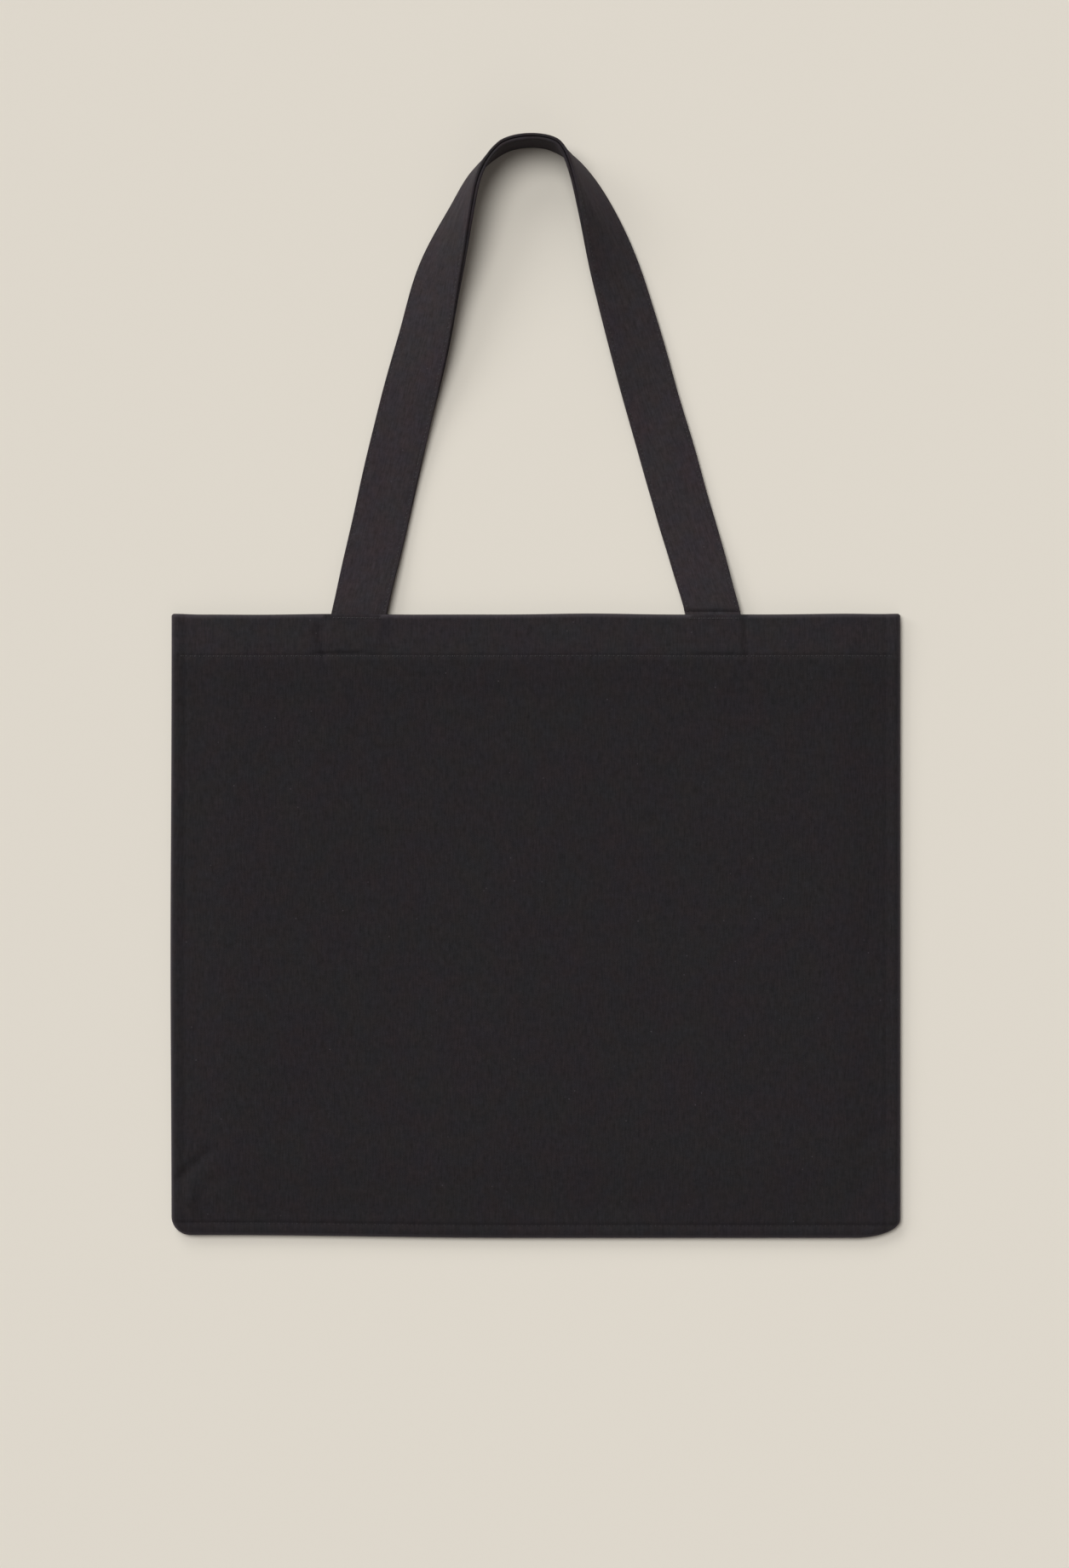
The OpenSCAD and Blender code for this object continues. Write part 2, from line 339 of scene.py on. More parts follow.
def canvas(name, dark, light, hem_sheen=1.0, sheen=0.05, thread_gap=0.55 * MM):
    """Plain-woven cotton canvas, dyed black: warp and weft cross over and under, slubs
    run along the warp, the dye took a little unevenly, and a few fibres stand off it.
    The hem above its row is painted a little lighter, a painted sheen for the light that catches
    it, and the folded edges carry a painted highlight. The threads lie a little further apart
    than real ones, which are too fine to show."""
    material, tree, shader = new_material(name)
    uv = node(tree, "ShaderNodeUVMap", uv_map="threads").outputs["UV"]
    sides = node(tree, "ShaderNodeSeparateXYZ", {"Vector": uv})

    def ridge(side):
        turns = node(tree, "ShaderNodeMath", {0: sides.outputs[side]},
                     {1: math.pi / thread_gap}, operation="MULTIPLY")
        wave = node(tree, "ShaderNodeMath", {0: turns.outputs[0]}, operation="SINE")
        return node(tree, "ShaderNodeMath", {0: wave.outputs[0]}, operation="ABSOLUTE")

    over = node(tree, "ShaderNodeTexChecker", {"Vector": uv}, {"Scale": 1 / thread_gap})
    weave = node(tree, "ShaderNodeMix", {0: over.outputs["Fac"], 2: ridge("X").outputs[0],
                                         3: ridge("Y").outputs[0]})
    warp = node(tree, "ShaderNodeMapping", {"Vector": uv},
                {"Scale": (1 / (0.9 * MM), 1 / (9 * MM), 1)})
    slub = node(tree, "ShaderNodeTexNoise", {"Vector": warp.outputs[0]},
                {"Scale": 1, "Detail": 3, "Roughness": 0.6})
    nap = node(tree, "ShaderNodeTexNoise", {"Vector": uv},
               {"Scale": 1 / (3.5 * MM), "Detail": 5, "Roughness": 0.75})
    grain = node(tree, "ShaderNodeMath", {0: slub.outputs["Fac"], 1: nap.outputs["Fac"]},
                 operation="ADD")
    tone = node(tree, "ShaderNodeMapRange", {"Value": grain.outputs[0]},
                {"From Min": 0.7, "From Max": 1.3})
    threads = node(tree, "ShaderNodeMix", {0: tone.outputs[0]},
                   {6: linear(dark), 7: linear(light)}, data_type="RGBA")
    # Uneven dye: reddish, bluish and purplish blacks in patches of two sizes
    dye = node(tree, "ShaderNodeTexNoise", {"Vector": uv}, {"Scale": 1 / (34 * MM)})
    warm = node(tree, "ShaderNodeMapRange", {"Value": dye.outputs["Fac"]},
                {"From Min": 0.38, "From Max": 0.62})
    spots = node(tree, "ShaderNodeTexNoise", {"Vector": uv}, {"Scale": 1 / (11 * MM)})
    cool = node(tree, "ShaderNodeMapRange", {"Value": spots.outputs["Fac"]},
                {"From Min": 0.36, "From Max": 0.64})
    first = node(tree, "ShaderNodeMix", {0: warm.outputs[0]},
                 {6: (1.04, 0.96, 1.03, 1), 7: (0.97, 1.01, 1.0, 1)}, data_type="RGBA")
    second = node(tree, "ShaderNodeMix", {0: cool.outputs[0]},
                  {6: (1.07, 1.0, 0.97, 1), 7: (0.95, 0.99, 1.05, 1)}, data_type="RGBA")
    tint = node(tree, "ShaderNodeVectorMath", {0: first.outputs[2], 1: second.outputs[2]},
                operation="MULTIPLY")
    dyed = node(tree, "ShaderNodeVectorMath", {0: threads.outputs[2], 1: tint.outputs[0]},
                operation="MULTIPLY")
    shade = node(tree, "ShaderNodeMapRange", {"Value": weave.outputs[0]},
                 {"To Min": 0.62, "To Max": 1.12})
    # Painted sheen: the hem above its row is painted lighter, for the light that catches it there
    painted_hem_sheen = node(tree, "ShaderNodeMapRange", {"Value": sides.outputs["Y"]},
                  {"From Min": HEM_Y + HALF_H - 1 * MM, "From Max": HEM_Y + HALF_H + 2 * MM,
                   "To Min": 1, "To Max": hem_sheen})
    both = node(tree, "ShaderNodeMath", {0: shade.outputs[0], 1: painted_hem_sheen.outputs[0]},
                operation="MULTIPLY")
    plain = node(tree, "ShaderNodeVectorMath", {0: dyed.outputs[0], "Scale": both.outputs[0]},
                 operation="SCALE")
    # Folded edges carry a painted highlight, a paler colour for the light catching them, and here
    # and there a speck of lint lies on the cloth
    painted_highlight = node(tree, "ShaderNodeAttribute", attribute_name="painted_highlight").outputs["Fac"]
    speck = node(tree, "ShaderNodeTexVoronoi", {"Vector": uv}, {"Scale": 1 / (12 * MM)})
    lint = node(tree, "ShaderNodeMapRange", {"Value": speck.outputs["Distance"]},
                {"From Min": 0.045, "From Max": 0.02, "To Max": 0.35})
    lint_and_highlight = node(tree, "ShaderNodeMath", {0: painted_highlight, 1: lint.outputs[0]}, operation="MAXIMUM")
    colour = node(tree, "ShaderNodeMix", {0: lint_and_highlight.outputs[0], 6: plain.outputs[0]},
                  {7: linear("#5c565c")}, data_type="RGBA")
    tree.links.new(colour.outputs[2], shader.inputs["Base Color"])
    relief = node(tree, "ShaderNodeMath", {0: weave.outputs[0], 1: grain.outputs[0]},
                  operation="ADD")
    dents = node(tree, "ShaderNodeBump", {"Height": relief.outputs[0]},
                 {"Strength": 0.55, "Distance": 0.12 * MM})
    tree.links.new(dents.outputs[0], shader.inputs["Normal"])
    shader.inputs["Roughness"].default_value = 0.92
    shader.inputs["Specular IOR Level"].default_value = 0.25
    shader.inputs["Sheen Weight"].default_value = sheen
    shader.inputs["Sheen Roughness"].default_value = 0.45
    shader.inputs["Sheen Tint"].default_value = linear("#b8aebc")
    return material


def sewing_thread(name, code):
    """Black spun polyester thread: two plies twisted together, with a dull shine. The
    twist is drawn coarser than a real one, which is too fine to show."""
    material, tree, shader = new_material(name)
    place = node(tree, "ShaderNodeTexCoord").outputs["Object"]
    ply = node(tree, "ShaderNodeTexWave", {"Vector": place},
               {"Scale": 1 / (2.2 * MM), "Distortion": 1.5}, bands_direction="DIAGONAL")
    tone = node(tree, "ShaderNodeMapRange", {"Value": ply.outputs["Fac"]},
                {"To Min": 0.7, "To Max": 1.15})
    colour = node(tree, "ShaderNodeVectorMath", {"Scale": tone.outputs[0]},
                  {0: linear(code)[:3]}, operation="SCALE")
    tree.links.new(colour.outputs[0], shader.inputs["Base Color"])
    twist = node(tree, "ShaderNodeBump", {"Height": ply.outputs["Fac"]},
                 {"Strength": 0.5, "Distance": 0.08 * MM})
    tree.links.new(twist.outputs[0], shader.inputs["Normal"])
    shader.inputs["Roughness"].default_value = 0.6
    return material


def painted_shade(name, code):
    """Painted shade: a near-black colour for the shadowed dimple where the needle went in between
    the threads.
    """
    material, _, shader = new_material(name)
    shader.inputs["Base Color"].default_value = linear(code)
    return material


def painted_board():
    """A matt painted board: flat pale paint, laid with a roller that leaves a fine stipple."""
    material, tree, shader = new_material("painted_board")
    place = node(tree, "ShaderNodeTexCoord").outputs["Object"]
    stipple = node(tree, "ShaderNodeTexNoise", {"Vector": place}, {"Scale": 1 / (2 * MM)})
    dents = node(tree, "ShaderNodeBump", {"Height": stipple.outputs["Fac"]},
                 {"Strength": 0.02, "Distance": 0.1 * MM})
    tree.links.new(dents.outputs[0], shader.inputs["Normal"])
    shader.inputs["Base Color"].default_value = linear("#ddd8cd")
    shader.inputs["Roughness"].default_value = 0.95
    shader.inputs["Specular IOR Level"].default_value = 0.0
    return material


def stage_floor():
    deselect()
    bpy.ops.mesh.primitive_plane_add(size=60)
    floor = bpy.context.object
    floor.name = "floor"
    floor.data.materials.append(painted_board())


# ---------------------------------------------------------------- panels

def round_corners(x, y):
    """Draws the two bottom corners of a square panel in to their curves. Returns the new
    places and how far each lies inside the bag's edge."""
    side = HALF_W - np.abs(x)
    bottom = y + HALF_H
    rx = np.where(x < 0, LEFT_CORNER[0], RIGHT_CORNER[0])
    ry = np.where(x < 0, LEFT_CORNER[1], RIGHT_CORNER[1])
    a = np.clip(1 - side / rx, 0, 1)
    b = np.clip(1 - bottom / ry, 0, 1)
    a2 = a * np.sqrt(1 - b * b / 2)
    b2 = b * np.sqrt(1 - a * a / 2)
    in_corner = (a > 0) & (b > 0)
    total = np.maximum(a2 * a2 + b2 * b2, 1e-12)
    reach = (rx * a2 * a2 + ry * b2 * b2) / total
    depth = np.where(in_corner, (1 - np.sqrt(total)) * reach, np.minimum(side, bottom))
    x = np.where(in_corner, np.sign(x) * (HALF_W - rx * (1 - a2)), x)
    y = np.where(in_corner, ry * (1 - b2) - HALF_H, y)
    return x, y, np.maximum(depth, 0)


def edge_roll(depth):
    """How far the cloth has turned over at the bag's folded edge, from 0 to 1."""
    t = np.clip(depth / ROLL, 0, 1)
    return np.sqrt(np.clip(1 - (1 - t) ** 2, 0, 1))


def in_hem(y):
    """From 0 below the hem to 1 at it, where the panels lie further apart."""
    return smooth((y - HEM_Y + HEM_SLOPE) / HEM_SLOPE)


def tail_middle(side, y):
    """Middle of a strap's slanted end at a height on the hem."""
    slant = (1 + COURSE[1][0]) * FOOT_X / (COURSE[1][1] * DROP)
    return side * (FOOT_X + slant * (AXIS_Y - y))


def over_tails(x, y, spread):
    """Where the straps' ends press through the hem, from 0 to 1."""
    share = 0
    for side in (-1, 1):
        off = np.abs(x - tail_middle(side, y)) - STRAP_W / 2
        share = share + smooth(0.5 - off / spread)
    return share * smooth((y - HEM_Y - 1 * MM) / (2 * MM))


def crease(x, y, start, end, bow, width):
    """A soft line from start to end, bowed in its middle; 1 on the line and 0 away from it.
    The line is given in millimetres, and fades out over a quarter of its length."""
    across, up = x / MM - start[0], y / MM - start[1]
    along = Vector((end[0] - start[0], end[1] - start[1]))
    dx, dy = along.normalized()
    s = (across * dx + up * dy) / along.length
    off = up * dx - across * dy - bow * 4 * s * (1 - s)
    return hump(off, width) * smooth(s / 0.25) * smooth((1 - s) / 0.25)


def front_height(x, y, depth):
    """Outer face of the front panel above the ground."""
    side = HALF_W - np.abs(x)
    bottom = y + HALF_H
    hem = in_hem(y)
    rim = mix(RIM_Z, HEM_RIM_Z, hem)
    crest = mix(BELLY_Z, TOP_Z, hem)
    swell = smooth((side - SIDE_SEAM) / SIDE_SLOPE) * smooth((bottom - BOTTOM_RIM) / BOTTOM_SLOPE)
    z = mix(rim, crest, swell)
    calm = smooth(side / (24 * MM)) * smooth(bottom / (24 * MM)) * (1 - 0.7 * hem)
    z = z + 0.8 * MM * calm * ripple(x, y, 150 * MM, 3)
    z = z + 0.22 * MM * calm * ripple(x, y * 0.5, 46 * MM, 5)
    # Sewn-in seam allowances make a ridge, and the cloth is pressed down beside them
    z = z + 0.3 * MM * hump(side - 4 * MM, 2 * MM) - 0.45 * MM * hump(side - 9 * MM, 1.6 * MM)
    z = z - 0.9 * MM * hump(bottom - BOTTOM_ROW, 1.3 * MM)
    z = z - 0.7 * MM * hump(y - HEM_Y - HEM_ROW, 1.3 * MM) * smooth(side / (6 * MM))
    # The thread draws the cloth into small puckers on both sides of a row
    pucker = ripple(x, 0 * y, 9 * MM, 11) * hump(y - HEM_Y - HEM_ROW, 9 * MM)
    pucker = pucker + ripple(x, 0 * y, 8 * MM, 12) * hump(bottom - BOTTOM_ROW, 7 * MM)
    z = z + 0.12 * MM * pucker
    z = z + 0.55 * MM * over_tails(x, y, 2.5 * MM)
    for rise, start, end, bow, width in FRONT_LINES:
        z = z + rise * MM * crease(x, y, start, end, bow, width)
    # The cloth stands up a little at the bottom left corner
    z = z + 2.4 * MM * hump(x + 218.5 * MM, 5 * MM) * hump(y + 173 * MM, 9 * MM)
    for k, place in enumerate(HEM_WRINKLES):
        z = z + 0.16 * MM * hump(x - place * MM, 1.6 * MM) * hem * (-1) ** k
    return FOLD_Z + (z - FOLD_Z) * edge_roll(depth)


def back_height(x, y, depth):
    """Outer face of the back panel, which lies on the ground."""
    bottom = y + HALF_H
    rows = hump(bottom - BOTTOM_ROW, 1 * MM) + hump(y - HEM_Y - HEM_ROW, 1 * MM)
    z = 0.35 * MM * rows + 0.06 * MM * (1 + ripple(x, y, 60 * MM, 21))
    return z + (FOLD_Z - z) * (1 - edge_roll(depth))


def front_top(x, y):
    """The front panel's outer face where it is away from the bag's edge."""
    return front_height(x, y, HALF_W)


def back_under(x, y):
    """The back panel's outer face where it is away from the bag's edge."""
    return back_height(x, y, HALF_W)


def fold_over(t):
    """Runs along a panel from its bottom edge: up to the mouth, over it, down the inside
    of the hem and under its tucked edge. Returns the place up the bag, the depth below the
    panel's outer face, and the distances at which the flat part, the fold at the mouth, the
    inside of the hem and the fold at its lower edge end."""
    top = MOUTH_Y - LIP_R
    lip = math.pi * LIP_R
    hem = top - HEM_Y - TUCK_R
    tuck = math.pi * TUCK_R
    flat = top + HALF_H
    a = np.clip((t - flat) / LIP_R, 0, math.pi)
    down = np.clip(t - flat - lip, 0, hem)
    b = np.clip((t - flat - lip - hem) / TUCK_R, 0, math.pi)
    up = np.clip(t - flat - lip - hem - tuck, 0, TUCK)
    y = np.minimum(t, flat) - HALF_H + LIP_R * np.sin(a) - down - TUCK_R * np.sin(b) + up
    depth = LIP_R * (1 - np.cos(a)) - TUCK_R * (1 - np.cos(b))
    return y, depth, flat, flat + lip, flat + lip + hem, flat + lip + hem + tuck


def edge_wave(x, y):
    """The mouth and the bottom aren't quite straight: shifts along Y. The bottom is drawn up
    1 mm at its left corner, and it hangs 0.8 mm lower from its middle to its right corner."""
    near = smooth((y - MOUTH_Y + 50 * MM) / (50 * MM))
    mouth = 0.45 * MM * (ripple(x, 0 * x, 110 * MM, 31) - 1) * smooth(
        (HALF_W - np.abs(x)) / (20 * MM))
    low = smooth((-y - HALF_H + 60 * MM) / (60 * MM))
    return near * mouth + low * MM * (1.8 * smooth((-x - 10 * MM) / (190 * MM)) - 0.8)


def side_wave(x, y):
    """The left side bows out a little at mid height: a shift along X."""
    return -0.7 * MM * smooth((-x - 150 * MM) / (80 * MM)) * hump(y + 20 * MM, 110 * MM)


def panel_columns(turn):
    """Where the columns of a panel's mesh lie: closest together at its folded edges, and
    closer at the straps' feet than between them."""
    edge = stations((ROLL, 13 * MM, 0.9 * MM), (13 * MM, 44 * MM, 2 * MM))
    half = np.concatenate([turn, edge[:-1]])
    inner = HALF_W - edge[-1]
    feet = (86 * MM, 144 * MM)
    middle = stations((-inner, -feet[1], 3 * MM), (-feet[1], -feet[0], 1.6 * MM),
                      (-feet[0], feet[0], 3.1 * MM), (feet[0], feet[1], 1.6 * MM),
                      (feet[1], inner, 3 * MM))
    return np.concatenate([half - HALF_W, middle, (HALF_W - half)[::-1]])


def panel_rows(turn, flat, lip, hem, tuck):
    """Where the rows of a panel's mesh lie: closest together at its folds and stitches."""
    row = HEM_Y + HALF_H
    return np.concatenate([turn, stations(
        (ROLL, 14 * MM, 0.9 * MM), (14 * MM, 60 * MM, 2.2 * MM),
        (60 * MM, row - 12 * MM, 2.9 * MM), (row - 12 * MM, row + 6 * MM, 0.9 * MM),
        (row + 6 * MM, flat, 1.9 * MM), (flat, lip, 0.4 * MM), (lip, hem, 2.4 * MM),
        (hem, tuck, 0.5 * MM), (tuck, tuck + TUCK, 2 * MM))])


def sewn_panel(name, height, sense):
    """One panel of the bag. sense is 1 for the front, whose outer face looks up. Returns it
    with its flat size."""
    _, _, flat, lip, hem, tuck = fold_over(np.zeros(1))
    turn = ROLL * (1 - np.cos(np.radians([0, 15, 32, 50, 70])))
    panel = flat_cloth(name, panel_columns(turn) * sense,
                       panel_rows(turn, flat, lip, hem, tuck))
    co = points(panel)
    x, t = co[:, 0], co[:, 1]
    y, depth = fold_over(t)[:2]
    x, y, inside = round_corners(x, y)
    # The turned-in cloth is a little narrower, so it lies inside the folded sides
    turned = np.clip((t - flat) / (lip - flat), 0, 1)
    x = x * (1 - turned * HEM_INSET / HALF_W)
    z = mix(height(x, y, inside), height(x, y, HALF_W + 0 * x), turned) - sense * depth
    # Painted highlight: the fold at the mouth, except where the straps' ends come out, and the
    # folded sides are painted paler where light catches them
    highlight_share = 0.3 * hump(t - flat - 0.4 * MM, 0.8 * MM) * (1 - over_tails(x, HEM_Y + 9 * MM, MM))
    highlight_share = highlight_share + 0.4 * hump(inside, 1.2 * MM) * (t < flat)
    move_points(panel, np.stack([x + side_wave(x, y), y + edge_wave(x, y), z], 1))
    painted_highlight = panel.data.attributes.new("painted_highlight", "FLOAT", "POINT")
    painted_highlight.data.foreach_set("value", np.minimum(highlight_share, 1).astype(np.float32))
    apply(panel, "SOLIDIFY", "thickness", thickness=CLOTH, offset=-1)
    soften(panel)
    return panel, (2 * HALF_W, tuck + TUCK)


# ---------------------------------------------------------------- straps

def strap_course():
    """Stations along a strap's middle line above the hinge at its feet: x, y and tilt. They
    lie on a smooth curve through the stops of COURSE, at most 4 mm apart."""
    stops = np.array(COURSE) * [FOOT_X, DROP - (AXIS_Y - MOUTH_Y), 1]
    gaps = np.linalg.norm(np.diff(stops[:, :2], axis=0), axis=1)
    slopes = np.empty_like(stops)
    slopes[0] = (stops[1] - stops[0]) / gaps[0]
    slopes[-1] = (stops[-1] - stops[-2]) / gaps[-1]
    slopes[1:-1] = (stops[2:] - stops[:-2]) / (gaps[1:] + gaps[:-1])[:, None]
    trail = []
    for i, gap in enumerate(gaps):
        for u in np.linspace(0, 1, max(6, math.ceil(gap / (4 * MM))), endpoint=False):
            a = u * u * (3 - 2 * u)
            trail.append(stops[i] * (1 - a) + stops[i + 1] * a
                         + slopes[i] * gap * u * (1 - u) ** 2
                         - slopes[i + 1] * gap * u * u * (1 - u))
    trail = np.array(trail + [stops[-1]])
    trail[:, 2] = np.clip(trail[:, 2], 0, 90)
    return trail


def strap_frames(is_front):
    """Distance along a strap with its middle, its outward side and its face there,
    from the lower end of its left tail to the lower end of its right tail."""
    trail = strap_course()
    # Its side points straight outwards at its feet, and higher up it is square to its course
    turned = smooth(trail[:, 1] / SETTLE)[:, None]
    ahead = np.vstack([trail[1:], trail[-1:]]) - np.vstack([trail[:1], trail[:-1]])
    out = np.stack([-ahead[:, 1], ahead[:, 0]], 1)
    out /= np.linalg.norm(out, axis=1)[:, None]
    foot = np.stack([np.sign(trail[:, 0]), 0 * trail[:, 0]], 1)
    out = foot * (1 - turned) + out * turned
    out /= np.linalg.norm(out, axis=1)[:, None]
    # The front strap lies on the back one where they are flat, and where they are upright
    # the back one is shifted inwards and leans
    tilt = np.radians(trail[:, 2])
    stack = STRAP_T + STRAP_GAP
    if is_front:
        shift, low = 0 * tilt, stack * np.cos(tilt)
        lift = tail_low.z - stack
    else:
        share = smooth((trail[:, 2] - LEAN_FROM) / (90 - LEAN_FROM))
        more = math.radians(LEAN) * share
        shift = (STRAP_T + CROWN_GAP) * np.sin(tilt) + STRAP_W / 2 * np.sin(more)
        tilt, low = tilt + more, 0 * tilt
        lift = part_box("back_handle_tail_left")[0].z
    z = low + lift * (1 - turned[:, 0])
    z = z + STRAP_W / 2 * np.sin(tilt) + STRAP_T / 2 * np.abs(np.cos(tilt))
    middle = np.column_stack([trail[:, :2] - shift[:, None] * out, z])
    middle[:, 1] += AXIS_Y
    across = np.column_stack([np.cos(tilt)[:, None] * out, -np.sin(tilt)])
    face = np.column_stack([np.sin(tilt)[:, None] * out, np.cos(tilt)])
    # The tails inside the hem go on straight
    ys = stations((TAIL_END_Y, AXIS_Y, 3 * MM))[:-1]
    left = np.column_stack([tail_middle(-1, ys), ys, 0 * ys + z[0]])
    right = np.column_stack([tail_middle(1, ys), ys, 0 * ys + z[-1]])[::-1]
    middle = np.vstack([left, middle, right])
    across = np.vstack([np.tile(across[0], (len(ys), 1)), across,
                        np.tile(across[-1], (len(ys), 1))])
    face = np.vstack([np.tile(face[0], (len(ys), 1)), face, np.tile(face[-1], (len(ys), 1))])
    steps = np.linalg.norm(np.diff(middle, axis=0), axis=1)
    return np.concatenate([[0], np.cumsum(steps)]), middle, across, face


def on_strap(frames, s, w, f, seed):
    """Takes places on a straight flat strap to the strap as it lies: s along it, w across
    it and f up from its middle. It is pressed in along its stitches, a little thicker in
    its middle, and waves gently where it isn't sewn down."""
    run = frames[0]
    centre, across, face = (np.stack([np.interp(s, run, part[:, k]) for k in range(3)], 1)
                            for part in frames[1:])
    total = run[-1]
    free = smooth((s - 34 * MM) / (30 * MM)) * smooth((total - s - 34 * MM) / (30 * MM))
    edge = np.abs(w) / (STRAP_W / 2)
    body = 1 - 0.3 * hump(np.abs(w) - STRAP_W / 2 + EDGE_ROW, 1 * MM)
    body = body + 0.05 * (1 - edge ** 2)
    wave = 0.22 * MM * ripple(s, w * 1.6, 34 * MM, seed) * free
    streak = 0
    for share, start, slant, height in SHOULDER_FOLDS:
        ahead = (s - total * share) / SHOULDER_RUN
        streak = streak + height * hump(w - (start + slant * ahead) * STRAP_W, 1.8 * MM) * (
            smooth(ahead / 0.3) * smooth((1 - ahead) / 0.5))
    above, depth, width = FOOT_FOLD
    fold = depth * hump(centre[:, 1] - MOUTH_Y - above, width) * (centre[:, 0] > 0)
    thin = 1 - edge ** 4
    sway = 0.25 * MM * ripple(s, 0 * s, 60 * MM, seed + 1) * free
    return (centre + across * (w + sway)[:, None]
            + face * (f * body + (wave + streak) * thin - fold)[:, None])


def sewn_strap(name, is_front, seed):
    """A strip of canvas folded in four, with a fold along each edge. Its mesh is finer
    along the edges and at the fold in its right foot."""
    frames = strap_frames(is_front)
    total = frames[0][-1]
    half = STRAP_W / 2
    inner = half - 3.2 * MM
    across = stations((-half, -inner, 0.8 * MM), (-inner, inner, 2 * MM), (inner, half, 0.8 * MM))
    strap = flat_cloth(name, across, stations(
        (0, total - 34 * MM, 2.6 * MM), (total - 34 * MM, total - 22 * MM, 0.8 * MM),
        (total - 22 * MM, total, 2.6 * MM)))
    apply(strap, "SOLIDIFY", "layers", thickness=STRAP_T, offset=0)
    apply(strap, "BEVEL", "folds", width=0.85 * MM, segments=3, limit_method="ANGLE",
          angle_limit=math.radians(60))
    co = points(strap)
    move_points(strap, on_strap(frames, co[:, 1], co[:, 0], co[:, 2], seed))
    face_outwards(strap)
    soften(strap)
    return strap, frames, total


# ---------------------------------------------------------------- stitches

def one_stitch():
    """One stitch of thread, which lies along X and bulges along Z, and after it a flat near-black
    piece of painted shade where the needle went in. Together they take up one stitch length.
    Returns the points, the faces, and how many of the faces are thread."""
    deselect()
    bpy.ops.mesh.primitive_uv_sphere_add(segments=8, ring_count=5, radius=0.5)
    stitch = bpy.context.object
    bpy.ops.transform.resize(value=(STITCH * 0.46, THREAD, THREAD * 0.6))
    bpy.ops.object.transform_apply(location=False, rotation=False, scale=True)
    thread_faces = len(stitch.data.polygons)
    bpy.ops.object.mode_set(mode="EDIT")
    bpy.ops.mesh.primitive_uv_sphere_add(
        segments=6, ring_count=3, radius=0.5, location=(STITCH / 2, 0, -0.06 * THREAD))
    bpy.ops.transform.resize(value=(STITCH * 0.56, THREAD * 1.6, THREAD * 0.4))
    bpy.ops.object.mode_set(mode="OBJECT")
    co = points(stitch)
    co[:, 2] -= 0.22 * THREAD * (2 * co[:, 0] / STITCH) ** 2
    faces = [list(p.vertices) for p in stitch.data.polygons]
    bpy.data.objects.remove(stitch)
    return co, faces, thread_faces


STITCH_POINTS, STITCH_FACES, THREAD_FACES = one_stitch()


def sew(name, rows, seed):
    """A piece made of one stitch copied along rows. Each row is places, with the
    direction of the thread and of the cloth's face at each."""
    rng = np.random.default_rng(seed)
    all_points, all_faces = [], []
    for place, ahead, up in rows:
        ahead = ahead / np.linalg.norm(ahead, axis=1)[:, None]
        side = np.cross(up, ahead)
        side /= np.linalg.norm(side, axis=1)[:, None]
        up = np.cross(ahead, side)
        for p, a, s, u in zip(place, ahead, side, up):
            slant = rng.normal(0, 0.05)
            size = rng.uniform(0.92, 1.04)
            turned = a * math.cos(slant) + s * math.sin(slant)
            across = s * math.cos(slant) - a * math.sin(slant)
            base = len(all_points) * len(STITCH_POINTS)
            co = STITCH_POINTS * size
            all_points.append(p + co[:, :1] * turned + co[:, 1:2] * across + co[:, 2:] * u)
            all_faces += [[base + v for v in f] for f in STITCH_FACES]
    mesh = bpy.data.meshes.new(name)
    mesh.from_pydata(np.concatenate(all_points).tolist(), [], all_faces)
    made = bpy.data.objects.new(name, mesh)
    bpy.context.scene.collection.objects.link(made)
    mesh.polygons.foreach_set("use_smooth", [True] * len(mesh.polygons))
    # Painted shade: the faces of the flat near-black piece under each stitch
    shade_faces = np.arange(len(mesh.polygons)) % len(STITCH_FACES) >= THREAD_FACES
    mesh.materials.append(thread)
    mesh.materials.append(stitch_shade)
    mesh.polygons.foreach_set("material_index", shade_faces.astype(int))
    return made


def face_of(surface, x, y):
    """Normals of a surface given as a height at x and y."""
    step = 0.5 * MM
    dx = (surface(x + step, y) - surface(x - step, y)) / (2 * step)
    dy = (surface(x, y + step) - surface(x, y - step)) / (2 * step)
    up = np.stack([-dx, -dy, np.ones_like(dx)], 1)
    return up / np.linalg.norm(up, axis=1)[:, None]


def row_on(surface, start, end, sense=1, lift=0.12 * MM):
    """A straight row of stitches on a surface, from one place to another. sense is -1 where
    the surface is seen from below, and lift is how far the thread stands off it."""
    start, end = np.array(start, float), np.array(end, float)
    length = np.linalg.norm(end - start)
    shares = (np.arange(int(length / STITCH)) + 0.5) * STITCH / length
    x, y = start[:, None] + (end - start)[:, None] * shares
    up = face_of(surface, x, y) * sense
    place = np.stack([x + side_wave(x, y), y + edge_wave(x, y), surface(x, y)], 1) + up * lift
    ahead = np.tile([*(end - start), 0.0], (len(x), 1))
    ahead -= up * (ahead * up).sum(1)[:, None]
    return place, ahead, up


def row_along(frames, w, f, seed):
    """A row of stitches along a strap, at a place across it, on one of its faces."""
    s = np.arange(STITCH / 2, frames[0][-1] - STITCH / 2, STITCH)
    side = np.sign(f)
    place = on_strap(frames, s, 0 * s + w, 0 * s + f, seed)
    ahead = (on_strap(frames, s + 0.5 * MM, 0 * s + w, 0 * s + f, seed)
             - on_strap(frames, s - 0.5 * MM, 0 * s + w, 0 * s + f, seed))
    above = on_strap(frames, s, 0 * s + w, 0 * s + f + side * MM, seed)
    return place, ahead, above - place


# ---------------------------------------------------------------- seam allowances

